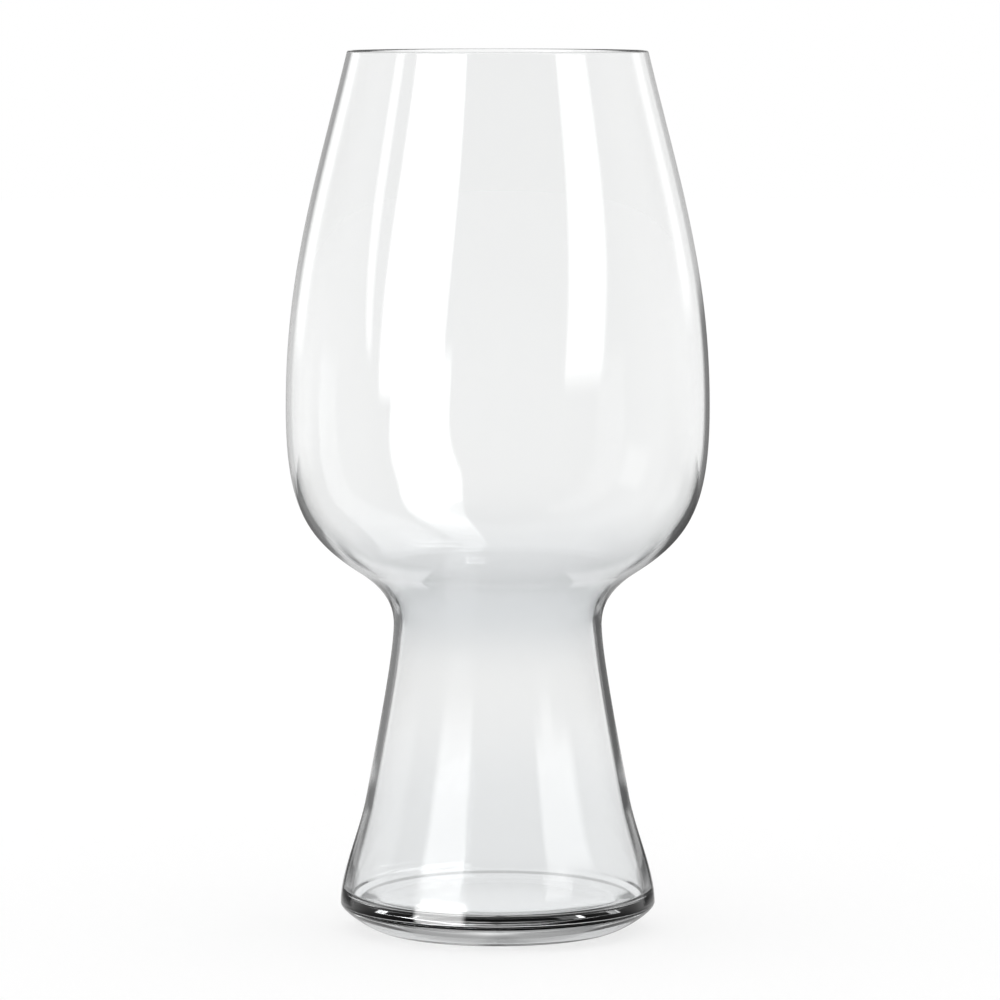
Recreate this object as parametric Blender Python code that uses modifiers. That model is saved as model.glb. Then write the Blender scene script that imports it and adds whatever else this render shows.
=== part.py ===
"""Stout glass: a tulip bowl that opens through a narrow neck into a hollow flared foot on a thick base.

The real glass is one fused body. It is built here as the three stretches that its maker tells apart:
the blown bowl, the hollow foot and the thick base, stacked on one upright axis and joined at flat ring seams.
"""

import math
from typing import NamedTuple

import bmesh
import bpy
from mathutils import Vector
from mathutils.geometry import interpolate_bezier

MM = 0.001

# Heights, each measured up from the one before it, starting at the table
HEEL_HEIGHT = 5.5 * MM
FLARE_RISE = 21.8 * MM
NECK_RISE = 35.7 * MM
SHOULDER_RISE = 10.7 * MM
BELLY_RISE = 33.6 * MM
RIM_RISE = 72.7 * MM

# Outer radii, with the shoulder's given as its spread beyond the neck
HEEL_RADIUS = 32.3 * MM
FLARE_RADIUS = 27.0 * MM
NECK_RADIUS = 21.3 * MM
SHOULDER_SPREAD = 7.1 * MM
BELLY_RADIUS = 43.3 * MM
RIM_RADIUS = 30.7 * MM

# Lean of the wall from upright, where it slants
FLARE_LEAN = math.radians(10.4)
SHOULDER_LEAN = math.radians(57.5)
RIM_LEAN = math.radians(13.5)

# Wall thickness, square to the wall
HEEL_WALL = 2.2 * MM
FLARE_WALL = 1.6 * MM
NECK_WALL = 1.7 * MM
SHOULDER_WALL = 1.4 * MM
BELLY_WALL = 1.1 * MM
RIM_WALL = 1.0 * MM

# The thick base: a floor inside, filleted to the wall, and a flat face to stand on underneath
BASE_THICKNESS = 6.3 * MM
FLOOR_FILLET = 2.0 * MM
FILLET_TOE = 0.5 * MM
STANDING_RADIUS = 24.0 * MM

# Gap at the two fused seams
FUSE_GAP = 0.3 * MM

# Facets: round the axis, along each stretch of wall, over the lip and down the fillet
TURN_STEPS = 48
WALL_STEPS = 7
LIP_STEPS = 6
FILLET_STEPS = 4

# Finish of the glass
GLASS_COLOUR = (0.93, 0.95, 0.95, 1.0)
GLASS_ROUGHNESS = 0.02
GLASS_IOR = 1.52

# Share of a fillet's radius that makes a cubic curve follow a quarter circle
QUARTER_CIRCLE = 4.0 / 3.0 * (math.sqrt(2.0) - 1.0)


class Station(NamedTuple):
    """A point of the outer wall: where it is, how the wall leans there and how thick it is.

    The lean is positive where the wall spreads on its way down. Each ease is the share of the distance to the
    next station, above or below, over which the wall keeps that lean.
    """

    radius: float
    height: float
    lean: float
    ease_above: float
    ease_below: float
    wall: float

    def point(self, inside: bool) -> Vector:
        """The station's place on the outer wall, or square across from it on the inner wall."""
        depth = self.wall if inside else 0.0
        across = Vector((math.cos(self.lean), 0.0, math.sin(self.lean)))
        return Vector((self.radius, 0.0, self.height)) - across * depth

    def downwards(self) -> Vector:
        """The way the wall runs on its way down."""
        return Vector((math.sin(self.lean), 0.0, -math.cos(self.lean)))


def stations() -> list[Station]:
    """The stations of the whole wall, from the rim down to the edge of the standing face."""
    flare_height = HEEL_HEIGHT + FLARE_RISE
    neck_height = flare_height + NECK_RISE
    shoulder_height = neck_height + SHOULDER_RISE
    belly_height = shoulder_height + BELLY_RISE
    return [
        Station(RIM_RADIUS, belly_height + RIM_RISE - lip_rise(), RIM_LEAN, 0.0, 0.34, RIM_WALL),
        Station(BELLY_RADIUS, belly_height, 0.0, 0.39, 0.54, BELLY_WALL),
        Station(NECK_RADIUS + SHOULDER_SPREAD, shoulder_height, -SHOULDER_LEAN, 0.36, 0.46, SHOULDER_WALL),
        Station(NECK_RADIUS, neck_height, 0.0, 0.31, 0.18, NECK_WALL),
        Station(FLARE_RADIUS, flare_height, FLARE_LEAN, 0.32, 0.34, FLARE_WALL),
        Station(HEEL_RADIUS, HEEL_HEIGHT, 0.0, 0.28, 0.15, HEEL_WALL),
        Station(STANDING_RADIUS, 0.0, -math.pi / 2.0, 0.19, 0.0, 0.0),
    ]


def lip_rise() -> float:
    """How far the rounded lip stands above the outer wall's top edge."""
    return RIM_WALL / 2.0 * (1.0 - math.sin(RIM_LEAN))


def wall_line(chain: list[Station], inside: bool) -> list[Vector]:
    """Points down the outer or the inner wall, through each station of the chain."""
    line = [chain[0].point(inside)]
    for upper, lower in zip(chain, chain[1:]):
        start = upper.point(inside)
        end = lower.point(inside)
        distance = (end - start).length
        leave = start + upper.downwards() * distance * upper.ease_below
        arrive = end - lower.downwards() * distance * lower.ease_above
        line += interpolate_bezier(start, leave, arrive, end, WALL_STEPS + 1)[1:]
    return line


def crossing(line: list[Vector], height: float) -> Vector:
    """The point where a falling line passes a height."""
    upper, lower = next(pair for pair in zip(line, line[1:]) if pair[0].z >= height >= pair[1].z)
    return upper.lerp(lower, (upper.z - height) / (upper.z - lower.z))


def stretch(line: list[Vector], top: float, bottom: float) -> list[Vector]:
    """The part of a falling line between two heights, with its ends cut at those heights."""
    clear = FUSE_GAP
    middle = [point for point in line if bottom + clear < point.z < top - clear]
    return [crossing(line, top), *middle, crossing(line, bottom)]


def lip(outer: Vector, inner: Vector, downwards: Vector) -> list[Vector]:
    """The half round of the rim, from the inner wall's top over to the outer wall's, without its two ends."""
    middle = (outer + inner) / 2.0
    across = (outer - inner) / 2.0
    up = -downwards * across.length
    turns = [math.pi * step / LIP_STEPS for step in range(1, LIP_STEPS)]
    return [middle - across * math.cos(turn) + up * math.sin(turn) for turn in turns]


def bowl_profile(wall: list[Station], seam: float) -> list[Vector]:
    """Closed outline of the bowl's wall, from the rim down to the seam at the neck."""
    outer = wall_line(wall, inside=False)
    inner = wall_line(wall, inside=True)
    outer_side = stretch(outer, outer[0].z, seam)
    inner_side = stretch(inner, inner[0].z, seam)
    return outer_side + inner_side[::-1] + lip(outer[0], inner[0], wall[0].downwards())


def foot_profile(wall: list[Station], seam: float, floor: float) -> list[Vector]:
    """Closed outline of the hollow foot's wall, from the neck down to its filleted seat on the base."""
    outer_side = stretch(wall_line(wall, inside=False), seam, floor)
    toe_height = floor + FILLET_TOE
    inner_side = stretch(wall_line(wall[:-1], inside=True), seam, toe_height + FLOOR_FILLET)
    start = inner_side[-1]
    toe = Vector((start.x - FLOOR_FILLET, 0.0, toe_height))
    ease = FLOOR_FILLET * QUARTER_CIRCLE
    leave = start + (start - inner_side[-2]).normalized() * ease
    arrive = toe + Vector((ease, 0.0, 0.0))
    fillet = interpolate_bezier(start, leave, arrive, toe, FILLET_STEPS + 1)
    inner_side += [*fillet[1:], Vector((toe.x, 0.0, floor))]
    return outer_side + inner_side[::-1]


def base_profile(wall: list[Station]) -> list[Vector]:
    """Open outline of the base, from the middle of its floor round the heel to the middle of its bottom."""
    outer = wall_line(wall, inside=False)
    heel = stretch(outer, BASE_THICKNESS, outer[-1].z)
    return [Vector((0.0, 0.0, BASE_THICKNESS)), *heel, Vector((0.0, 0.0, outer[-1].z))]


def clear_glass(name: str) -> bpy.types.Material:
    """Clear, colourless, fire-polished glass for one piece."""
    material = bpy.data.materials.new(name)
    material.use_nodes = True
    shader = material.node_tree.nodes["Principled BSDF"]
    shader.inputs["Base Color"].default_value = GLASS_COLOUR
    shader.inputs["Metallic"].default_value = 0.0
    shader.inputs["Roughness"].default_value = GLASS_ROUGHNESS
    shader.inputs["IOR"].default_value = GLASS_IOR
    shader.inputs["Transmission Weight"].default_value = 1.0
    return material


def turned_piece(name: str, profile: list[Vector], closed: bool, seat: float) -> bpy.types.Object:
    """Turns a profile about the upright axis into a piece whose origin is at the height of its seat."""
    shape = bmesh.new()
    corners = [shape.verts.new((point.x, 0.0, point.z - seat)) for point in profile]
    for start, end in zip(corners, corners[1:]):
        shape.edges.new((start, end))
    if closed:
        shape.edges.new((corners[-1], corners[0]))
    mesh = bpy.data.meshes.new(name)
    shape.to_mesh(mesh)
    shape.free()
    mesh.materials.append(clear_glass(name))

    piece = bpy.data.objects.new(name, mesh)
    piece.location.z = seat
    turn = piece.modifiers.new("Turn", "SCREW")
    turn.axis = "Z"
    turn.angle = math.tau
    turn.steps = TURN_STEPS
    turn.render_steps = TURN_STEPS
    turn.use_merge_vertices = True
    turn.merge_threshold = 0.00001
    turn.use_smooth_shade = True
    return piece


def main() -> None:
    """Builds the glass in an empty scene."""
    for old in list(bpy.data.objects):
        bpy.data.objects.remove(old, do_unlink=True)

    wall = stations()
    neck_seam = HEEL_HEIGHT + FLARE_RISE + NECK_RISE
    bowl_seat = neck_seam + FUSE_GAP
    foot_seat = BASE_THICKNESS + FUSE_GAP
    pieces = [
        turned_piece("bowl", bowl_profile(wall, bowl_seat), True, bowl_seat),
        turned_piece("hollow_foot", foot_profile(wall, neck_seam, foot_seat), True, foot_seat),
        turned_piece("base_plate", base_profile(wall), False, 0.0),
    ]

    glass = bpy.data.collections.new("stout_glass")
    bpy.context.scene.collection.children.link(glass)
    axis = bpy.data.objects.new("glass_axis", None)
    glass.objects.link(axis)
    for piece in pieces:
        glass.objects.link(piece)
        piece.parent = axis


main()
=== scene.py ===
"""Looks of the stout glass: three fused stretches of clear glass on a pale floor, in a soft white studio."""

import logging
import math
from dataclasses import dataclass, field, replace
from enum import Enum, IntEnum
from functools import cached_property
from typing import ClassVar, Union

import bmesh
import bpy
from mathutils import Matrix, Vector
from mathutils.geometry import interpolate_bezier


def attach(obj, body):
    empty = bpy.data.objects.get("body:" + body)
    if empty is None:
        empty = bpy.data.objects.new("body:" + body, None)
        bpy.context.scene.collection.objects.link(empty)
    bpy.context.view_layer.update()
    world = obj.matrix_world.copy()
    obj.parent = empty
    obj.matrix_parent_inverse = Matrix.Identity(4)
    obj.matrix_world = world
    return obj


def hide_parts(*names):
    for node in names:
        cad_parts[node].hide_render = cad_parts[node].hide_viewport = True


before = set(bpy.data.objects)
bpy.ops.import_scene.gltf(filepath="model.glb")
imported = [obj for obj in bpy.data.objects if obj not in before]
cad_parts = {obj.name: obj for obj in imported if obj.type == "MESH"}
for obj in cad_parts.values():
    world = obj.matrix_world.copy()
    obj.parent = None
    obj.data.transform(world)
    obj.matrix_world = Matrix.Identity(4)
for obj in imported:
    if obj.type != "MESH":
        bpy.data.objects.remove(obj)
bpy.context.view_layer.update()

log = logging.getLogger("stout_glass")

MM = 0.001

# Points closer together than this are one point
TOUCHING = 0.001 * MM

# Share of a fillet's radius that makes a cubic curve follow a quarter circle
QUARTER_CIRCLE = 4.0 / 3.0 * (math.sqrt(2.0) - 1.0)

# Counts of what a light path has met, each set half way between two whole counts
NONE_YET = 0.5
FRONT_WALL = 2.5

Value = Union[float, bpy.types.NodeSocket]


class Side(Enum):
    """The two faces of the glass wall."""

    OUTER = "outer"
    INNER = "inner"


class Finish(IntEnum):
    """The places of the finishes in a piece's list."""

    GLASS = 0
    SEAM = 1
    # Glass whose sheen is cut, which paints out its mirror images
    CUT_SHEEN = 2


class NodeSheet:
    """Lays out the nodes of one shader tree and joins them."""

    def __init__(self, tree: bpy.types.NodeTree) -> None:
        """Starts from an emptied tree."""
        self.tree = tree
        tree.nodes.clear()

    def add(self, kind: str) -> bpy.types.Node:
        """Adds one node of a kind."""
        return self.tree.nodes.new(kind)

    def feed(self, socket: bpy.types.NodeSocket, value: Value) -> None:
        """Joins a socket to another one, or sets it to a constant."""
        if isinstance(value, bpy.types.NodeSocket):
            self.tree.links.new(value, socket)
        else:
            socket.default_value = value

    def math(self, operation: str, *terms: Value) -> bpy.types.NodeSocket:
        """Works out one operation on numbers.

        Args:
            operation: Blender's name of the operation.
            terms: What it works on, in order.

        Returns:
            The socket with the result.
        """
        node = self.add("ShaderNodeMath")
        node.operation = operation
        for socket, term in zip(node.inputs, terms):
            self.feed(socket, term)
        return node.outputs[0]

    def fade(
        self,
        value: Value,
        start: Value,
        end: Value,
        low: Value = 0.0,
        high: Value = 1.0,
    ) -> bpy.types.NodeSocket:
        """Runs softly from one level to another.

        Args:
            value: What the fade follows.
            start: The value up to which the level is low.
            end: The value from which the level is high.
            low: The first level.
            high: The second level.

        Returns:
            The socket with the level.
        """
        node = self.add("ShaderNodeMapRange")
        node.interpolation_type = "SMOOTHSTEP"
        self.feed(node.inputs["Value"], value)
        self.feed(node.inputs["From Min"], start)
        self.feed(node.inputs["From Max"], end)
        self.feed(node.inputs["To Min"], low)
        self.feed(node.inputs["To Max"], high)
        return node.outputs["Result"]

    def between(self, value: Value, low: float, high: float, soft: float) -> bpy.types.NodeSocket:
        """A mask that is 1 between two values, with soft ends that reach as far inside them as outside."""
        rising = self.fade(value, low - soft, low + soft)
        falling = self.fade(value, high - soft, high + soft, 1.0, 0.0)
        return self.math("MULTIPLY", rising, falling)

    def mix(self, mask: Value, start: Value, end: Value) -> bpy.types.NodeSocket:
        """The level that lies a mask's share of the way from one level to another."""
        step = self.math("SUBTRACT", end, start)
        return self.math("MULTIPLY_ADD", mask, step, start)

    def split(self, vector: bpy.types.NodeSocket) -> tuple[bpy.types.NodeSocket, ...]:
        """The three coordinates of a vector."""
        node = self.add("ShaderNodeSeparateXYZ")
        self.feed(node.inputs[0], vector)
        return tuple(node.outputs)

    def bearing(self, x: Value, y: Value) -> bpy.types.NodeSocket:
        """Degrees round the axis, from 0 in front of the glass, growing to the right."""
        toward_front = self.math("MULTIPLY", y, -1.0)
        return self.math("DEGREES", self.math("ARCTAN2", x, toward_front))

    def mirrored(self) -> bpy.types.NodeSocket:
        """A mask of the light paths that have met a mirror-like reflection."""
        return self.math("GREATER_THAN", self.add("ShaderNodeLightPath").outputs["Glossy Depth"], NONE_YET)

    def deep(self) -> bpy.types.NodeSocket:
        """A mask of the light paths that have crossed the front wall on their way."""
        crossings = self.add("ShaderNodeLightPath").outputs["Transmission Depth"]
        return self.math("GREATER_THAN", crossings, FRONT_WALL)

    def straight(self) -> bpy.types.NodeSocket:
        """A mask of the light paths that have crossed no wall at all."""
        crossings = self.add("ShaderNodeLightPath").outputs["Transmission Depth"]
        return self.math("LESS_THAN", crossings, NONE_YET)

    def put_out(self, kind: str, shader: bpy.types.NodeSocket) -> None:
        """Joins the finished shader to the tree's output."""
        self.feed(self.add(kind).inputs["Surface"], shader)


@dataclass(frozen=True)
class Station:
    """A point of the outer wall: where it is, how the wall leans there and how thick it is.

    The lean is positive where the wall spreads on its way down. Each ease is the share of the distance to the
    next station, above or below, over which the wall keeps that lean.
    """

    radius: float
    height: float
    lean: float
    ease_above: float
    ease_below: float
    wall: float

    def point(self, side: Side) -> Vector:
        """The station's place on the outer wall, or square across from it on the inner wall."""
        depth = self.wall if side is Side.INNER else 0.0
        across = Vector((math.cos(self.lean), 0.0, math.sin(self.lean)))
        return Vector((self.radius, 0.0, self.height)) - across * depth

    def downwards(self) -> Vector:
        """The way the wall runs on its way down."""
        return Vector((math.sin(self.lean), 0.0, -math.cos(self.lean)))


@dataclass(frozen=True)
class Wall:
    """The wall of the whole glass, from the rim down to the face it stands on.

    Each stretch between two stations has so many steps, and each of them so many fine steps, from which the
    cuts at the seams are taken. Points of the wall that come closer to a cut than the spare are left out.
    """

    heel_height: float = 5.5 * MM
    flare_rise: float = 21.8 * MM
    neck_rise: float = 35.7 * MM
    shoulder_rise: float = 10.7 * MM
    belly_rise: float = 33.6 * MM
    rim_rise: float = 72.7 * MM
    heel_radius: float = 32.3 * MM
    flare_radius: float = 27.0 * MM
    neck_radius: float = 21.3 * MM
    shoulder_spread: float = 7.1 * MM
    belly_radius: float = 43.3 * MM
    rim_radius: float = 30.7 * MM
    standing_radius: float = 24.0 * MM
    flare_lean: float = math.radians(10.4)
    shoulder_lean: float = math.radians(57.5)
    rim_lean: float = math.radians(13.5)
    heel_wall: float = 2.2 * MM
    flare_wall: float = 1.6 * MM
    neck_wall: float = 1.7 * MM
    shoulder_wall: float = 1.4 * MM
    belly_wall: float = 1.1 * MM
    rim_wall: float = 1.0 * MM
    base_thickness: float = 6.3 * MM
    floor_fillet: float = 2.0 * MM
    steps: int = 28
    fine_steps: int = 20
    fillet_steps: int = 16
    seam_step: float = 0.05 * MM
    spare: float = 0.2 * MM

    def neck_seam(self) -> float:
        """Height of the seam between the bowl and the foot."""
        return self.heel_height + self.flare_rise + self.neck_rise

    def stations(self) -> list[Station]:
        """The stations of the wall, from the rim down."""
        flare_height = self.heel_height + self.flare_rise
        neck_height = self.neck_seam()
        shoulder_height = neck_height + self.shoulder_rise
        belly_height = shoulder_height + self.belly_rise
        lip_rise = self.rim_wall / 2.0 * (1.0 - math.sin(self.rim_lean))
        rim_height = belly_height + self.rim_rise - lip_rise
        shoulder_radius = self.neck_radius + self.shoulder_spread
        return [
            Station(self.rim_radius, rim_height, self.rim_lean, 0.0, 0.34, self.rim_wall),
            Station(self.belly_radius, belly_height, 0.0, 0.39, 0.54, self.belly_wall),
            Station(shoulder_radius, shoulder_height, -self.shoulder_lean, 0.36, 0.46, self.shoulder_wall),
            Station(self.neck_radius, neck_height, 0.0, 0.31, 0.18, self.neck_wall),
            Station(self.flare_radius, flare_height, self.flare_lean, 0.32, 0.34, self.flare_wall),
            Station(self.heel_radius, self.heel_height, 0.0, 0.28, 0.15, self.heel_wall),
            Station(self.standing_radius, 0.0, -math.pi / 2.0, 0.19, 0.0, 0.0),
        ]

    def line(self, side: Side) -> list[Vector]:
        """A fine line down one face of the wall.

        Args:
            side: The face to follow. The inner one ends at the heel, below the floor.

        Returns:
            The line's points, from the rim down.
        """
        chain = self.stations()
        if side is Side.INNER:
            chain = chain[:-1]
        points = [chain[0].point(side)]
        for upper, lower in zip(chain, chain[1:]):
            start = upper.point(side)
            end = lower.point(side)
            distance = (end - start).length
            leave = start + upper.downwards() * distance * upper.ease_below
            arrive = end - lower.downwards() * distance * lower.ease_above
            points += interpolate_bezier(start, leave, arrive, end, self.steps * self.fine_steps + 1)[1:]
        return points

    def stretch(self, side: Side, top: float, bottom: float) -> list[Vector]:
        """The part of one face between two heights.

        A very short step at each cut end gives the pieces on both sides of a seam the same slope there.

        Args:
            side: The face to follow.
            top: The upper height.
            bottom: The lower height.

        Returns:
            The points, from the top down, at the spacing of the mesh.
        """
        fine = self.line(side)
        heights = [top, top - self.seam_step, bottom + self.seam_step, bottom]
        ends = [crossing(fine, height) for height in heights]
        coarse = fine[:: self.fine_steps]
        middle = [point for point in coarse if bottom + self.spare < point.z < top - self.spare]
        return [*ends[:2], *middle, *ends[2:]]

    def fillet(self) -> list[Vector]:
        """The round between the inner wall and the floor, from the wall down to its toe on the floor."""
        inner = self.line(Side.INNER)
        top = self.base_thickness + self.floor_fillet
        start = crossing(inner, top)
        slope = (crossing(inner, top - self.seam_step) - start).normalized()
        toe = Vector((start.x - self.floor_fillet, 0.0, self.base_thickness))
        ease = self.floor_fillet * QUARTER_CIRCLE
        leave = start + slope * ease
        arrive = toe + Vector((ease, 0.0, 0.0))
        fine = interpolate_bezier(start, leave, arrive, toe, self.fillet_steps * self.fine_steps + 1)
        return [*fine[:: self.fine_steps][:-1], fine[-2], fine[-1]]


def crossing(line: list[Vector], height: float) -> Vector:
    """The point where a falling line passes a height."""
    upper, lower = next(pair for pair in zip(line, line[1:]) if pair[0].z >= height >= pair[1].z)
    return upper.lerp(lower, (upper.z - height) / (upper.z - lower.z))


@dataclass(frozen=True)
class BlownRipple:
    """The slow ripple and faint bloom of a blown wall, for every glass finish."""

    name: str = "blown_ripple"
    ripple_detail: float = 1.0
    patch_scale: float = 2.3
    patch_detail: float = 3.0
    patch_from: float = 0.45
    patch_to: float = 0.75

    def group(self) -> bpy.types.NodeTree:
        """Makes the node group, once.

        Returns:
            A group that puts out a height for a bump and a roughness.
        """
        if self.name in bpy.data.node_groups:
            return bpy.data.node_groups[self.name]
        group = bpy.data.node_groups.new(self.name, "ShaderNodeTree")
        for label in ("Ripples Across", "Ripples Up", "Bloom"):
            group.interface.new_socket(label, in_out="INPUT", socket_type="NodeSocketFloat")
        for label in ("Height", "Roughness"):
            group.interface.new_socket(label, in_out="OUTPUT", socket_type="NodeSocketFloat")
        sheet = NodeSheet(group)
        given = sheet.add("NodeGroupInput")
        put = sheet.add("NodeGroupOutput")
        spread = sheet.add("ShaderNodeCombineXYZ")
        sheet.feed(spread.inputs["X"], given.outputs["Ripples Across"])
        sheet.feed(spread.inputs["Y"], given.outputs["Ripples Across"])
        sheet.feed(spread.inputs["Z"], given.outputs["Ripples Up"])
        stretched = sheet.add("ShaderNodeVectorMath")
        stretched.operation = "MULTIPLY"
        sheet.feed(stretched.inputs[0], sheet.add("ShaderNodeTexCoord").outputs["Object"])
        sheet.feed(stretched.inputs[1], spread.outputs[0])
        ripple = sheet.add("ShaderNodeTexNoise")
        ripple.inputs["Scale"].default_value = 1.0
        ripple.inputs["Detail"].default_value = self.ripple_detail
        sheet.feed(ripple.inputs["Vector"], stretched.outputs[0])
        sheet.feed(put.inputs["Height"], ripple.outputs["Fac"])
        patch = sheet.add("ShaderNodeTexNoise")
        patch.inputs["Scale"].default_value = self.patch_scale
        patch.inputs["Detail"].default_value = self.patch_detail
        sheet.feed(patch.inputs["Vector"], stretched.outputs[0])
        share = sheet.fade(patch.outputs["Fac"], self.patch_from, self.patch_to)
        sheet.feed(put.inputs["Roughness"], sheet.math("MULTIPLY", share, given.outputs["Bloom"]))
        return group


@dataclass(frozen=True)
class PaintedShadeGrey:
    """The faint cool grey of painted shade, which darkens the glass round the neck and low on the foot, for
    every glass finish.

    The grey is full between the inner heights of the neck, and below the first height of the foot.
    """

    name: str = "thick_wall_grey"
    neck_low: tuple[float, float] = (52.0 * MM, 66.0 * MM)
    neck_high: tuple[float, float] = (68.0 * MM, 91.0 * MM)
    foot_high: tuple[float, float] = (24.0 * MM, 50.0 * MM)

    def group(self) -> bpy.types.NodeTree:
        """Makes the node group, once.

        Returns:
            A group that puts out the glass's colour by height: clear at the bowl, greyest round the neck.
        """
        if self.name in bpy.data.node_groups:
            return bpy.data.node_groups[self.name]
        group = bpy.data.node_groups.new(self.name, "ShaderNodeTree")
        for label in ("Clear", "Shaded"):
            group.interface.new_socket(label, in_out="INPUT", socket_type="NodeSocketColor")
        group.interface.new_socket("Foot Share", in_out="INPUT", socket_type="NodeSocketFloat")
        group.interface.new_socket("Colour", in_out="OUTPUT", socket_type="NodeSocketColor")
        sheet = NodeSheet(group)
        given = sheet.add("NodeGroupInput")
        put = sheet.add("NodeGroupOutput")
        height = sheet.split(sheet.add("ShaderNodeTexCoord").outputs["Object"])[2]
        above = sheet.fade(height, *self.neck_high, 1.0, 0.0)
        below = sheet.fade(height, *self.neck_low)
        neck = sheet.math("MULTIPLY", above, below)
        low_down = sheet.fade(height, *self.foot_high, 1.0, 0.0)
        foot = sheet.math("MULTIPLY", low_down, given.outputs["Foot Share"])
        blend = sheet.add("ShaderNodeMix")
        blend.data_type = "RGBA"
        # The mix node's sockets for colours come after those for numbers and vectors
        factor, start, end = (blend.inputs[place] for place in (0, 6, 7))
        sheet.feed(factor, sheet.math("MAXIMUM", neck, foot))
        sheet.feed(start, given.outputs["Clear"])
        sheet.feed(end, given.outputs["Shaded"])
        sheet.feed(put.inputs["Colour"], blend.outputs[2])
        return group


@dataclass(frozen=True)
class ClearGlass:
    """Clear, colourless, fire-polished glass with the slow ripple of a blown wall."""

    name: str
    clear: tuple[float, float, float] = (0.996, 1.0, 0.999)
    # The grey of the painted shade round the neck and the foot
    shaded_tone: tuple[float, float, float] = (0.900, 0.913, 0.921)
    foot_share: float = 0.5
    mirror: float = 1.0
    sheen_cut_from: float = 0.0
    sheen_cut_to: float = 0.0
    mirror_loss: float = 0.085
    ior: float = 1.52
    ripples_across: float = 55.0
    ripples_up: float = 16.0
    ripple_depth: float = 0.012 * MM
    bloom: float = 0.012

    def material(self) -> bpy.types.Material:
        """Makes the finish as a material."""
        material = bpy.data.materials.new(self.name)
        material.use_nodes = True
        sheet = NodeSheet(material.node_tree)
        ripple = sheet.add("ShaderNodeGroup")
        ripple.node_tree = BlownRipple().group()
        ripple.inputs["Ripples Across"].default_value = self.ripples_across
        ripple.inputs["Ripples Up"].default_value = self.ripples_up
        ripple.inputs["Bloom"].default_value = self.bloom
        bump = sheet.add("ShaderNodeBump")
        bump.inputs["Distance"].default_value = self.ripple_depth
        sheet.feed(bump.inputs["Height"], ripple.outputs["Height"])
        # Painted shade: the colour turns grey round the neck and low on the foot
        tone = sheet.add("ShaderNodeGroup")
        tone.node_tree = PaintedShadeGrey().group()
        tone.inputs["Clear"].default_value = (*self.clear, 1.0)
        tone.inputs["Shaded"].default_value = (*self.shaded_tone, 1.0)
        tone.inputs["Foot Share"].default_value = self.foot_share
        glass = sheet.add("ShaderNodeBsdfPrincipled")
        # A cut sheen paints out the glass's mirror images from one height to another
        if self.sheen_cut_to > self.sheen_cut_from:
            self.cut_sheen_by_height(sheet, glass, tone.outputs["Colour"])
        else:
            sheet.feed(glass.inputs["Base Color"], tone.outputs["Colour"])
            glass.inputs["Specular Tint"].default_value = (self.mirror, self.mirror, self.mirror, 1.0)
        glass.inputs["Metallic"].default_value = 0.0
        glass.inputs["IOR"].default_value = self.ior
        glass.inputs["Transmission Weight"].default_value = 1.0
        sheet.feed(glass.inputs["Roughness"], ripple.outputs["Roughness"])
        sheet.feed(glass.inputs["Normal"], bump.outputs["Normal"])
        sheet.put_out("ShaderNodeOutputMaterial", glass.outputs["BSDF"])
        return material

    def cut_sheen_by_height(
        self,
        sheet: NodeSheet,
        glass: bpy.types.Node,
        colour: bpy.types.NodeSocket,
    ) -> None:
        """Cuts the glass's sheen from one height up to another, which paints out its mirror images there, and
        darkens its colour by what it no longer mirrors.

        Args:
            sheet: The sheet to work on.
            glass: The shader of the glass.
            colour: The colour of the glass before it is darkened.
        """
        height = sheet.split(sheet.add("ShaderNodeTexCoord").outputs["Object"])[2]
        mirror = sheet.fade(height, self.sheen_cut_from, self.sheen_cut_to, 1.0, self.mirror)
        share = sheet.math("MULTIPLY_ADD", mirror, self.mirror_loss, 1.0 - self.mirror_loss)
        darker = sheet.add("ShaderNodeVectorMath")
        darker.operation = "SCALE"
        sheet.feed(darker.inputs["Vector"], colour)
        sheet.feed(darker.inputs["Scale"], share)
        sheet.feed(glass.inputs["Base Color"], darker.outputs[0])
        sheet.feed(glass.inputs["Specular Tint"], mirror)

    def with_sheen_cut(self, name: str, mirror: float) -> "ClearGlass":
        """The same glass with its sheen cut, which paints out its mirror images.

        Args:
            name: Name of the glass with cut sheen.
            mirror: Share of its mirror-like sheen that it keeps.

        Returns:
            The glass with cut sheen, darker by what it no longer mirrors.
        """
        share = 1.0 - self.mirror_loss * (1.0 - mirror)
        clear = tuple(channel * share for channel in self.clear)
        shaded_tone = tuple(channel * share for channel in self.shaded_tone)
        return replace(self, name=name, mirror=mirror, clear=clear, shaded_tone=shaded_tone)


@dataclass(frozen=True)
class FusedSeam:
    """The place where two stretches of the glass are fused: light passes as if there were no face."""

    name: str = "fused_seam"

    def material(self) -> bpy.types.Material:
        """Makes the finish as a material, once."""
        if self.name in bpy.data.materials:
            return bpy.data.materials[self.name]
        material = bpy.data.materials.new(self.name)
        material.use_nodes = True
        sheet = NodeSheet(material.node_tree)
        clear = sheet.add("ShaderNodeBsdfPrincipled")
        clear.inputs["Base Color"].default_value = (1.0, 1.0, 1.0, 1.0)
        clear.inputs["Alpha"].default_value = 0.0
        sheet.put_out("ShaderNodeOutputMaterial", clear.outputs["BSDF"])
        return material


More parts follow.
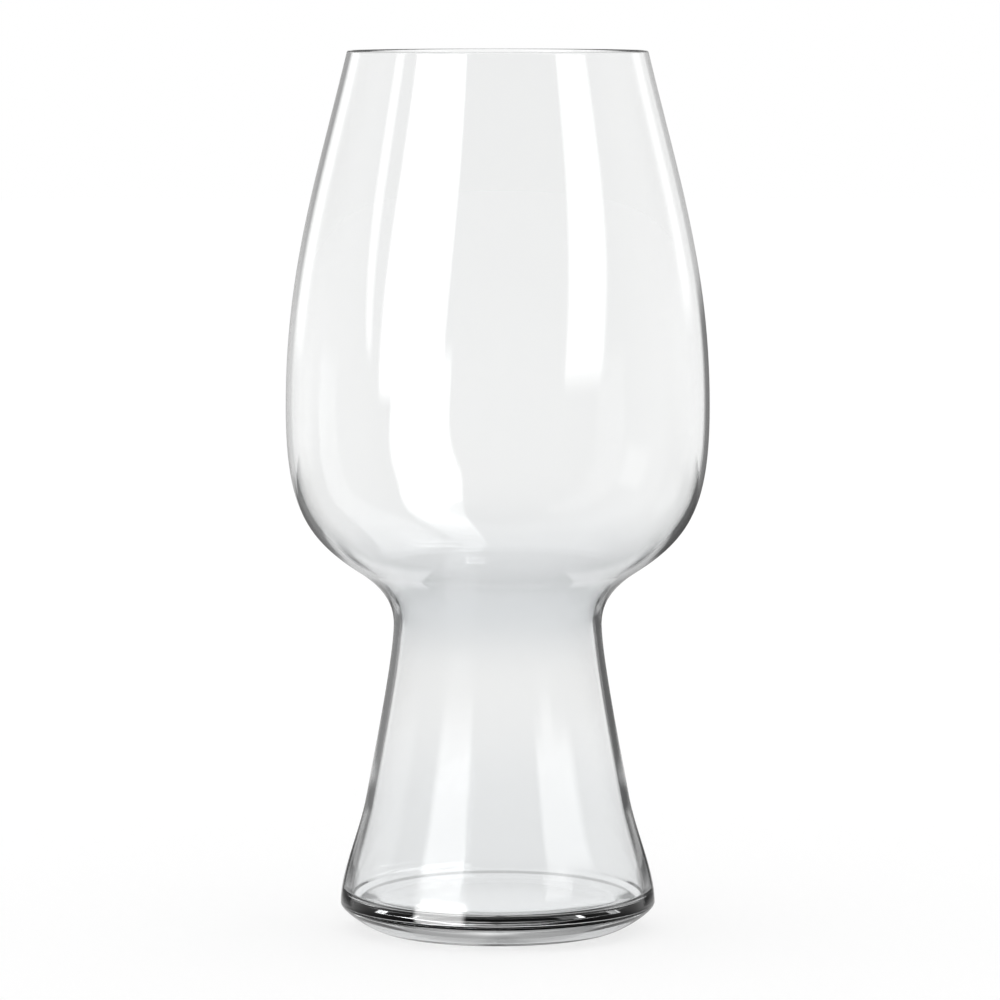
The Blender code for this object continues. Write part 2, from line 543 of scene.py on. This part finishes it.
@dataclass
class TurnedPiece:
    """One stretch of the glass, turned about the upright axis."""

    wall: Wall
    glass: ClearGlass
    seam: FusedSeam = field(default_factory=FusedSeam)
    turns: int = 192
    node: ClassVar[str] = ""

    def profile(self) -> list[Vector]:
        """The outline that is turned; its last point joins its first unless both lie on the axis."""
        raise NotImplementedError

    def is_seam(self, face: bmesh.types.BMFace) -> bool:
        """Whether a face is fused to the next stretch of the glass."""
        raise NotImplementedError

    def finish_of(self, face: bmesh.types.BMFace) -> Finish:
        """The finish of a face."""
        return Finish.SEAM if self.is_seam(face) else Finish.GLASS

    def finishes(self) -> list[bpy.types.Material]:
        """The glass and the seam, in the order of their places."""
        return [self.glass.material(), self.seam.material()]

    def level_at(self, face: bmesh.types.BMFace, height: float) -> bool:
        """Whether a face lies flat at a height."""
        return all(abs(corner.co.z - height) < TOUCHING for corner in face.verts)

    def build(self) -> bpy.types.Object:
        """Turns the outline into a closed mesh.

        Returns:
            The new object, at the origin.
        """
        shape = bmesh.new()
        corners = [shape.verts.new(point) for point in self.profile()]
        ring = [*corners, corners[0]] if corners[0].co.x > 0.0 else corners
        edges = [shape.edges.new(pair) for pair in zip(ring, ring[1:])]
        bmesh.ops.spin(
            shape,
            geom=[*corners, *edges],
            cent=(0.0, 0.0, 0.0),
            axis=(0.0, 0.0, 1.0),
            angle=math.tau,
            steps=self.turns,
            use_merge=True,
        )
        bmesh.ops.remove_doubles(shape, verts=shape.verts, dist=TOUCHING)
        bmesh.ops.recalc_face_normals(shape, faces=shape.faces)
        for face in shape.faces:
            face.smooth = True
            face.material_index = self.finish_of(face).value
        for edge in shape.edges:
            fused = {face.material_index == Finish.SEAM for face in edge.link_faces}
            edge.smooth = len(fused) == 1
        mesh = bpy.data.meshes.new(self.node + "_glass")
        shape.to_mesh(mesh)
        shape.free()
        piece = bpy.data.objects.new(self.node + "_glass", mesh)
        bpy.context.scene.collection.objects.link(piece)
        return piece

    def dress(self, piece: bpy.types.Object) -> None:
        """Gives the piece its finishes and sets it in the place of its solid."""
        for finish in self.finishes():
            piece.data.materials.append(finish)
        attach(piece, "root")
        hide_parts(self.node)

    def place(self) -> bpy.types.Object:
        """Builds and dresses the piece."""
        piece = self.build()
        self.dress(piece)
        log.info("%s: %d faces", piece.name, len(piece.data.polygons))
        return piece


@dataclass
class Bowl(TurnedPiece):
    """The blown tulip bowl, from its rounded rim down to the neck, where its sheen is cut to paint out the
    mirror images there.
    """

    # Below this height the bowl's sheen is cut, which paints out the mirror images in the neck
    sheen_cut_below: float = 73.5 * MM
    neck_mirror: float = 0.1
    lip_steps: int = 14
    node: ClassVar[str] = "bowl"

    def profile(self) -> list[Vector]:
        """The bowl's outline: down the outside, across the neck, up the inside and over the rim."""
        seam = self.wall.neck_seam()
        top = self.wall.stations()[0]
        outer_top = top.point(Side.OUTER)
        inner_top = top.point(Side.INNER)
        outer = self.wall.stretch(Side.OUTER, outer_top.z, seam)
        inner = self.wall.stretch(Side.INNER, inner_top.z, seam)
        middle = (outer_top + inner_top) / 2.0
        across = (outer_top - inner_top) / 2.0
        up = -top.downwards() * across.length
        turns = [math.pi * step / self.lip_steps for step in range(1, self.lip_steps)]
        lip = [middle - across * math.cos(turn) + up * math.sin(turn) for turn in turns]
        return [*outer, *inner[::-1], *lip]

    def is_seam(self, face: bmesh.types.BMFace) -> bool:
        """The bowl is fused to the foot at the neck."""
        return self.level_at(face, self.wall.neck_seam())

    def finish_of(self, face: bmesh.types.BMFace) -> Finish:
        """The faces of the neck have the glass with cut sheen, which paints out their mirror images."""
        if self.is_seam(face):
            return Finish.SEAM
        return Finish.CUT_SHEEN if face.calc_center_median().z < self.sheen_cut_below else Finish.GLASS

    def finishes(self) -> list[bpy.types.Material]:
        """The glass, the seam and the neck's glass with cut sheen."""
        return [*super().finishes(), self.glass.with_sheen_cut("neck_glass", self.neck_mirror).material()]


@dataclass
class HollowFoot(TurnedPiece):
    """The hollow flared foot, from the neck, where its sheen is cut to paint out mirror images, down to its
    filleted seat on the base.
    """

    node: ClassVar[str] = "hollow_foot"

    def profile(self) -> list[Vector]:
        """The foot's outline: down the outside, across the base, up the fillet and the inside."""
        seam = self.wall.neck_seam()
        floor = self.wall.base_thickness
        outer = self.wall.stretch(Side.OUTER, seam, floor)
        inner = self.wall.stretch(Side.INNER, seam, floor + self.wall.floor_fillet)
        return [*outer, *self.wall.fillet()[:0:-1], *inner[::-1]]

    def is_seam(self, face: bmesh.types.BMFace) -> bool:
        """The foot is fused to the bowl at the neck, and to the base."""
        at_neck = self.level_at(face, self.wall.neck_seam())
        return at_neck or self.level_at(face, self.wall.base_thickness)


@dataclass
class BasePlate(TurnedPiece):
    """The thick base, with the floor of the inside on top, a rounded heel and a flat face to stand on."""

    flat_rings: int = 4
    toe_margin: float = 0.01 * MM
    node: ClassVar[str] = "base_plate"

    @cached_property
    def toe_radius(self) -> float:
        """Radius of the floor, up to the toe of the fillet."""
        return self.wall.fillet()[-1].x

    def profile(self) -> list[Vector]:
        """The base's outline: out across the floor, round the heel and in across the standing face."""
        floor = self.wall.base_thickness
        heel = self.wall.stretch(Side.OUTER, floor, 0.0)
        shares = [step / self.flat_rings for step in range(self.flat_rings)]
        top = [Vector((self.toe_radius * share, 0.0, floor)) for share in [*shares, 1.0]]
        bottom = [Vector((heel[-1].x * share, 0.0, 0.0)) for share in shares]
        return [*top, *heel, *bottom[::-1]]

    def is_seam(self, face: bmesh.types.BMFace) -> bool:
        """The base is fused to the foot all round its floor."""
        inner = self.toe_radius - self.toe_margin
        around = all(math.hypot(*corner.co.xy) > inner for corner in face.verts)
        return around and self.level_at(face, self.wall.base_thickness)


@dataclass(frozen=True)
class SoftBox:
    """A curved soft light or dark card round the glass, which shows only as a mirror image in its front wall.

    Bearings are degrees round the axis, from 0 in front, growing to the right. Each side edge leans by its
    own degrees for each metre above the lean height. Heights, the fades of the low and the high edge, the
    distance from the axis and the reach are in metres. Only glass within its reach mirrors the panel.
    """

    name: str
    from_bearing: float
    to_bearing: float
    low: float
    high: float = 0.62
    strength: float = 4.0
    from_lean: float = 0.0
    to_lean: float = 0.0
    lean_height: float = 0.14
    side_fade: float = 1.5
    low_fade: float = 0.05
    high_fade: float = 0.05
    distance: float = 0.5
    reach: float = 2.0
    margin: float = 18.0
    steps: int = 32

    def on_both_sides(self, right_strength: float) -> list["SoftBox"]:
        """The panel on the left of the glass, and its twin on the right.

        Args:
            right_strength: Strength of the twin.

        Returns:
            The two panels, left one first.
        """
        left = replace(self, name="left_" + self.name)
        right = replace(
            self,
            name="right_" + self.name,
            from_bearing=-self.to_bearing,
            to_bearing=-self.from_bearing,
            from_lean=-self.to_lean,
            to_lean=-self.from_lean,
            strength=right_strength,
        )
        return [left, right]

    def build(self) -> bpy.types.Object:
        """Spins the upright edge of the box round the axis.

        Returns:
            The new panel.
        """
        shape = bmesh.new()
        start = math.radians(self.from_bearing - self.margin)
        turn = math.radians(self.to_bearing - self.from_bearing + 2.0 * self.margin)
        place = (self.distance * math.sin(start), -self.distance * math.cos(start))
        foot = shape.verts.new((*place, self.low))
        head = shape.verts.new((*place, self.high))
        edge = shape.edges.new((foot, head))
        bmesh.ops.spin(
            shape,
            geom=[foot, head, edge],
            cent=(0.0, 0.0, 0.0),
            axis=(0.0, 0.0, 1.0),
            angle=turn,
            steps=self.steps,
            use_merge=False,
        )
        mesh = bpy.data.meshes.new(self.name)
        shape.to_mesh(mesh)
        shape.free()
        mesh.materials.append(self.material())
        panel = bpy.data.objects.new(self.name, mesh)
        bpy.context.scene.collection.objects.link(panel)
        return panel

    def material(self) -> bpy.types.Material:
        """Makes the panel's even light, with soft edges, and clear to all looks but such mirror images."""
        material = bpy.data.materials.new(self.name)
        material.use_nodes = True
        sheet = NodeSheet(material.node_tree)
        x, y, z = sheet.split(sheet.add("ShaderNodeTexCoord").outputs["Object"])
        bearing = sheet.bearing(x, y)
        rise = sheet.math("SUBTRACT", z, self.lean_height)
        from_edge = sheet.math("MULTIPLY_ADD", rise, self.from_lean, self.from_bearing)
        to_edge = sheet.math("MULTIPLY_ADD", rise, self.to_lean, self.to_bearing)
        after = sheet.fade(sheet.math("SUBTRACT", bearing, from_edge), -self.side_fade, self.side_fade)
        before = sheet.fade(sheet.math("SUBTRACT", to_edge, bearing), -self.side_fade, self.side_fade)
        above = sheet.fade(z, self.low, self.low + self.low_fade)
        below = sheet.fade(z, self.high - self.high_fade, self.high, 1.0, 0.0)
        shown = sheet.math("MULTIPLY", sheet.mirrored(), sheet.math("SUBTRACT", 1.0, sheet.deep()))
        length = sheet.add("ShaderNodeLightPath").outputs["Ray Length"]
        near = sheet.math("LESS_THAN", length, self.reach)
        for edge in (near, after, before, above, below):
            shown = sheet.math("MULTIPLY", shown, edge)
        light = sheet.add("ShaderNodeEmission")
        light.inputs["Strength"].default_value = self.strength
        blend = sheet.add("ShaderNodeMixShader")
        sheet.feed(blend.inputs[0], shown)
        sheet.feed(blend.inputs[1], sheet.add("ShaderNodeBsdfTransparent").outputs[0])
        sheet.feed(blend.inputs[2], light.outputs[0])
        sheet.put_out("ShaderNodeOutputMaterial", blend.outputs[0])
        material.cycles.emission_sampling = "NONE"
        return material


@dataclass(frozen=True)
class PaleFloor:
    """The plain pale floor, which keeps a faint shadow of the glass."""

    radius: float = 4.0
    segments: int = 96
    drop: float = 0.2 * MM
    shaded_share: float = 0.3
    glow: float = 0.71

    def build(self) -> bpy.types.Object:
        """Lays the floor just under the glass."""
        shape = bmesh.new()
        bmesh.ops.create_circle(shape, cap_ends=True, radius=self.radius, segments=self.segments)
        bmesh.ops.translate(shape, verts=shape.verts, vec=(0.0, 0.0, -self.drop))
        mesh = bpy.data.meshes.new("pale_floor")
        shape.to_mesh(mesh)
        shape.free()
        mesh.materials.append(self.material())
        floor = bpy.data.objects.new("pale_floor", mesh)
        bpy.context.scene.collection.objects.link(floor)
        return floor

    def material(self) -> bpy.types.Material:
        """Makes the floor's white, which mirror images in the glass don't show."""
        material = bpy.data.materials.new("pale_floor")
        material.use_nodes = True
        sheet = NodeSheet(material.node_tree)
        matt = sheet.add("ShaderNodeBsdfDiffuse")
        matt.inputs["Color"].default_value = (self.shaded_share, self.shaded_share, self.shaded_share, 1.0)
        lit = sheet.add("ShaderNodeEmission")
        lit.inputs["Strength"].default_value = self.glow
        both = sheet.add("ShaderNodeAddShader")
        sheet.feed(both.inputs[0], matt.outputs[0])
        sheet.feed(both.inputs[1], lit.outputs[0])
        blend = sheet.add("ShaderNodeMixShader")
        sheet.feed(blend.inputs[0], sheet.mirrored())
        sheet.feed(blend.inputs[1], both.outputs[0])
        sheet.feed(blend.inputs[2], sheet.add("ShaderNodeBsdfTransparent").outputs[0])
        sheet.put_out("ShaderNodeOutputMaterial", blend.outputs[0])
        material.cycles.emission_sampling = "NONE"
        return material


@dataclass(frozen=True)
class WhiteStudio:
    """The room: white wherever the glass is looked through, and dim wherever it mirrors.

    Bearings are degrees round the axis, from 0 in front, growing to the right, and heights are degrees above
    the level. A pair of them holds the two ends of a fade or of a zone. The strip's other pairs are shares of
    a look's direction: how far it goes up, or back for each step up.
    """

    dim_low: float = 0.05
    dim_high: float = 0.14
    dim_heights: tuple[float, float] = (-20.0, 0.0)
    back_low: float = 0.25
    back_high: float = 0.85
    back_bearings: tuple[float, float] = (55.0, 120.0)
    back_foot: tuple[float, float] = (-50.0, -35.0)
    back_heights: tuple[float, float] = (-14.0, 6.0)
    edge_glow: float = 0.85
    edge_bearings: tuple[float, float] = (108.0, 138.0)
    edge_foot: tuple[float, float] = (-16.0, -5.0)
    ceiling: float = 0.15
    ceiling_heights: tuple[float, float] = (30.0, 40.0)
    left_edge_low: float = 0.70
    left_edge_high: float = 0.40
    left_edge_heights: tuple[float, float] = (-3.0, 4.0)
    left_edge_zone: tuple[float, float] = (-177.0, -152.0)
    right_edge: float = 0.60
    right_edge_zone: tuple[float, float] = (154.0, 174.0)
    edge_fade: float = 4.0
    heel_level: float = 0.40
    heel_bearings: tuple[float, float] = (148.0, 156.0)
    heel_zone: tuple[float, float] = (8.0, 26.0)
    height_fade: float = 3.0
    backdrop: float = 1.15
    backdrop_bearings: tuple[float, float] = (169.0, 173.0)
    backdrop_zone: tuple[float, float] = (-14.0, 18.0)
    far_backdrops: tuple[float, ...] = (-135.0, -90.0, 45.0)
    far_half_width: tuple[float, float] = (7.0, 12.0)
    far_zone: tuple[float, float] = (5.0, 24.0)
    strip: float = 4.0
    strip_zone: tuple[float, float] = (18.0, 54.0)
    strip_fade: float = 1.5
    strip_slant: float = -0.5
    strip_swing: float = 10.5
    swing_rise: tuple[float, float] = (-0.08, 0.55)
    strip_foot: tuple[float, float] = (-0.2, -0.08)
    strip_top: float = 0.5
    strip_end: tuple[float, float] = (0.0, 0.35)
    end_share: float = 0.3

    def build(self) -> None:
        """Makes the room as the scene's world."""
        world = bpy.data.worlds.new("white_studio")
        bpy.context.scene.world = world
        world.use_nodes = True
        sheet = NodeSheet(world.node_tree)
        x, y, z = sheet.split(sheet.add("ShaderNodeTexCoord").outputs["Generated"])
        bearing = sheet.bearing(x, y)
        height = sheet.math("DEGREES", sheet.math("ARCSINE", z))
        deep = sheet.deep()
        level = self.walls(sheet, bearing, height)
        level = self.outline_glow(sheet, level, bearing, height)
        level = sheet.mix(self.backdrop_mask(sheet, bearing, height, deep), level, self.backdrop)
        level = sheet.mix(sheet.math("MULTIPLY", self.strip_mask(sheet, x, y, z), deep), level, self.strip)
        light = sheet.add("ShaderNodeBackground")
        light.inputs["Color"].default_value = (1.0, 1.0, 1.0, 1.0)
        sheet.feed(light.inputs["Strength"], sheet.mix(sheet.mirrored(), 1.0, level))
        sheet.put_out("ShaderNodeOutputWorld", light.outputs[0])

    def walls(
        self,
        sheet: NodeSheet,
        bearing: bpy.types.NodeSocket,
        height: bpy.types.NodeSocket,
    ) -> bpy.types.NodeSocket:
        """How light the walls and the ceiling are in mirror images.

        Args:
            sheet: The sheet to work on.
            bearing: Degrees round the axis.
            height: Degrees above the level.

        Returns:
            The level: dim in front, lighter at the back and dim overhead.
        """
        around = sheet.math("ABSOLUTE", bearing)
        level = sheet.fade(height, *self.dim_heights, self.dim_low, self.dim_high)
        at_back = sheet.fade(around, *self.back_bearings)
        at_back = sheet.math("MULTIPLY", at_back, sheet.fade(height, *self.back_foot))
        back_level = sheet.fade(height, *self.back_heights, self.back_low, self.back_high)
        level = sheet.mix(at_back, level, back_level)
        beside = sheet.fade(around, *self.edge_bearings)
        beside = sheet.math("MULTIPLY", beside, sheet.fade(height, *self.edge_foot))
        level = sheet.mix(beside, level, self.edge_glow)
        shallow = sheet.math("SUBTRACT", 1.0, sheet.deep())
        overhead = sheet.math("MULTIPLY", sheet.fade(height, *self.ceiling_heights), shallow)
        return sheet.mix(overhead, level, sheet.mix(sheet.straight(), self.ceiling, 1.0))

    def outline_glow(
        self,
        sheet: NodeSheet,
        level: bpy.types.NodeSocket,
        bearing: bpy.types.NodeSocket,
        height: bpy.types.NodeSocket,
    ) -> bpy.types.NodeSocket:
        """Sets how light the room is where the outline of the glass mirrors it.

        Args:
            sheet: The sheet to work on.
            level: The level of the room so far.
            bearing: Degrees round the axis.
            height: Degrees above the level.

        Returns:
            The new level, with the places for the left and the right outline and for the heel.
        """
        shallow = sheet.math("SUBTRACT", 1.0, sheet.deep())
        left_edge = sheet.fade(height, *self.left_edge_heights, self.left_edge_low, self.left_edge_high)
        left = sheet.between(bearing, *self.left_edge_zone, self.edge_fade)
        level = sheet.mix(sheet.math("MULTIPLY", left, shallow), level, left_edge)
        right = sheet.between(bearing, *self.right_edge_zone, self.edge_fade)
        level = sheet.mix(sheet.math("MULTIPLY", right, shallow), level, self.right_edge)
        heel = sheet.fade(sheet.math("ABSOLUTE", bearing), *self.heel_bearings)
        heel = sheet.math("MULTIPLY", heel, sheet.between(height, *self.heel_zone, self.height_fade))
        return sheet.mix(sheet.math("MULTIPLY", heel, shallow), level, self.heel_level)

    def strip_mask(
        self,
        sheet: NodeSheet,
        x: bpy.types.NodeSocket,
        y: bpy.types.NodeSocket,
        z: bpy.types.NodeSocket,
    ) -> bpy.types.NodeSocket:
        """Where the long light over the glass hangs, which the back wall of the bowl mirrors.

        Args:
            sheet: The sheet to work on.
            x: How far a look goes to the right.
            y: How far it goes back.
            z: How far it goes up.

        Returns:
            The mask.
        """
        toward_end = sheet.bearing(x, sheet.math("MULTIPLY_ADD", z, self.strip_slant, y))
        swing = sheet.fade(z, *self.swing_rise, self.strip_swing, 0.0)
        along = sheet.between(sheet.math("SUBTRACT", toward_end, swing), *self.strip_zone, self.strip_fade)
        past_top = sheet.fade(sheet.math("DIVIDE", y, z), *self.strip_end, 1.0, self.end_share)
        near_top = sheet.math("GREATER_THAN", z, self.strip_top)
        end = sheet.mix(near_top, 1.0, past_top)
        return sheet.math("MULTIPLY", sheet.math("MULTIPLY", along, end), sheet.fade(z, *self.strip_foot))

    def backdrop_mask(
        self,
        sheet: NodeSheet,
        bearing: bpy.types.NodeSocket,
        height: bpy.types.NodeSocket,
        deep: bpy.types.NodeSocket,
    ) -> bpy.types.NodeSocket:
        """Where the white backdrops stand: one behind the glass, and others for looks from other sides.

        Args:
            sheet: The sheet to work on.
            bearing: Degrees round the axis.
            height: Degrees above the level.
            deep: The mask of paths that crossed the front wall. Only those meet the backdrops.

        Returns:
            The mask.
        """
        behind = sheet.fade(sheet.math("ABSOLUTE", bearing), *self.backdrop_bearings)
        mask = sheet.math("MULTIPLY", behind, sheet.between(height, *self.backdrop_zone, self.height_fade))
        for middle in self.far_backdrops:
            off_centre = sheet.math("ABSOLUTE", sheet.math("SUBTRACT", bearing, middle))
            across = sheet.fade(off_centre, *self.far_half_width, 1.0, 0.0)
            zone = sheet.between(height, *self.far_zone, self.height_fade)
            mask = sheet.math("MAXIMUM", mask, sheet.math("MULTIPLY", across, zone))
        return sheet.math("MULTIPLY", mask, deep)


@dataclass(frozen=True)
class Lookout:
    """The camera, at the photograph's distance, height and framing."""

    place: tuple[float, float, float] = (0.0, -1.2, 0.195)
    aim: tuple[float, float, float] = (0.00047, 0.0, 0.08828)
    lens: float = 212.0
    sensor: float = 36.0

    def build(self) -> bpy.types.Object:
        """Sets up the camera and makes it the scene's."""
        camera = bpy.data.cameras.new("lookout")
        camera.sensor_width = self.sensor
        camera.lens = self.lens
        lookout = bpy.data.objects.new("lookout", camera)
        lookout.location = self.place
        sight = Vector(self.aim) - Vector(self.place)
        lookout.rotation_euler = sight.to_track_quat("-Z", "Y").to_euler()
        bpy.context.scene.collection.objects.link(lookout)
        bpy.context.scene.camera = lookout
        return lookout


def soft_boxes() -> list[SoftBox]:
    """The soft lights that the photograph shows in the bowl, in the foot and in the base."""
    return [
        SoftBox("left_box", -64.5, -29.0, low=0.085, to_lean=18.0, low_fade=0.04),
        SoftBox(
            "left_sliver",
            -73.0,
            -70.5,
            low=0.125,
            strength=2.6,
            from_lean=-52.0,
            to_lean=-28.0,
            side_fade=0.8,
        ),
        SoftBox("right_box", 35.6, 56.8, low=0.10, strength=2.4, from_lean=40.0, to_lean=65.0),
        SoftBox("back_left_box", -143.0, -130.0, low=0.09, strength=1.5, side_fade=4.0),
        SoftBox("back_right_box", 124.0, 136.0, low=0.12, strength=1.5, side_fade=4.0),
        SoftBox(
            "left_base_box",
            -43.0,
            -17.0,
            low=-0.02,
            high=0.0135,
            strength=12.0,
            side_fade=2.0,
            low_fade=0.004,
            high_fade=0.004,
            distance=0.05,
            reach=0.04,
        ),
        SoftBox(
            "left_foot_box",
            -43.0,
            -19.5,
            low=0.011,
            high=0.066,
            strength=1.9,
            low_fade=0.005,
            high_fade=0.014,
            distance=0.046,
            reach=0.032,
        ),
        SoftBox(
            "right_foot_box",
            28.0,
            57.0,
            low=0.018,
            high=0.056,
            strength=1.8,
            low_fade=0.006,
            high_fade=0.016,
            distance=0.046,
            reach=0.032,
        ),
    ]


def dark_cards() -> list[SoftBox]:
    """The dark cards that the outline of the glass mirrors, and those that trim the lights in the foot."""
    bowl = SoftBox(
        "bowl_card",
        -160.0,
        -133.0,
        low=0.02,
        high=0.07,
        strength=0.26,
        from_lean=-333.0,
        to_lean=-150.0,
        lean_height=0.041,
        side_fade=3.0,
        low_fade=0.01,
        high_fade=0.01,
        distance=0.15,
    )
    belly = replace(
        bowl,
        name="right_belly_card",
        from_bearing=140.0,
        to_bearing=164.0,
        low=0.055,
        high=0.138,
        strength=0.24,
        from_lean=0.0,
        to_lean=0.0,
        high_fade=0.02,
        distance=0.16,
    )
    neck = SoftBox(
        "neck_card",
        -174.0,
        -156.0,
        low=-0.014,
        high=0.022,
        strength=0.27,
        side_fade=3.0,
        low_fade=0.012,
        high_fade=0.012,
    )
    flare = SoftBox(
        "flare_card",
        -149.0,
        -138.0,
        low=-0.04,
        high=0.06,
        strength=0.20,
        from_lean=555.0,
        lean_height=0.009,
        side_fade=2.0,
        low_fade=0.012,
        high_fade=0.02,
    )
    heel = SoftBox(
        "heel_card",
        -152.0,
        -124.0,
        low=-0.016,
        high=0.009,
        strength=0.16,
        side_fade=3.0,
        low_fade=0.012,
        high_fade=0.004,
        distance=0.145,
    )
    left_trim = SoftBox(
        "left_trim_card",
        -66.0,
        -43.0,
        low=0.011,
        high=0.07,
        strength=0.14,
        side_fade=3.0,
        low_fade=0.005,
        high_fade=0.01,
        distance=0.047,
        reach=0.034,
    )
    right_trim = replace(
        left_trim,
        name="right_trim_card",
        from_bearing=10.0,
        to_bearing=34.0,
        low=0.018,
        high=0.066,
        strength=0.12,
        side_fade=1.5,
        low_fade=0.006,
        high_fade=0.006,
    )
    return [
        *bowl.on_both_sides(0.14),
        belly,
        *neck.on_both_sides(0.12),
        *flare.on_both_sides(0.12),
        *heel.on_both_sides(0.14),
        left_trim,
        right_trim,
    ]


def main() -> None:
    """Builds the glass and its studio."""
    logging.basicConfig(level=logging.INFO, format="%(message)s")
    bpy.context.scene.view_settings.view_transform = "Standard"
    wall = Wall()
    pieces = [
        Bowl(wall, ClearGlass("bowl_glass")),
        HollowFoot(
            wall,
            # The foot's sheen is cut towards the neck, which paints out its mirror images there
            ClearGlass("foot_glass", ripples_up=24.0, mirror=0.1, sheen_cut_from=36.0 * MM, sheen_cut_to=54.0 * MM),
        ),
        BasePlate(
            wall,
            ClearGlass("base_glass", ripples_across=40.0, ripples_up=40.0, ripple_depth=0.006 * MM),
        ),
    ]
    for piece in pieces:
        piece.place()
    for panel in [*soft_boxes(), *dark_cards()]:
        log.info("%s", panel.build().name)
    log.info("%s", PaleFloor().build().name)
    WhiteStudio().build()
    Lookout().build()


if __name__ == "__main__":
    main()
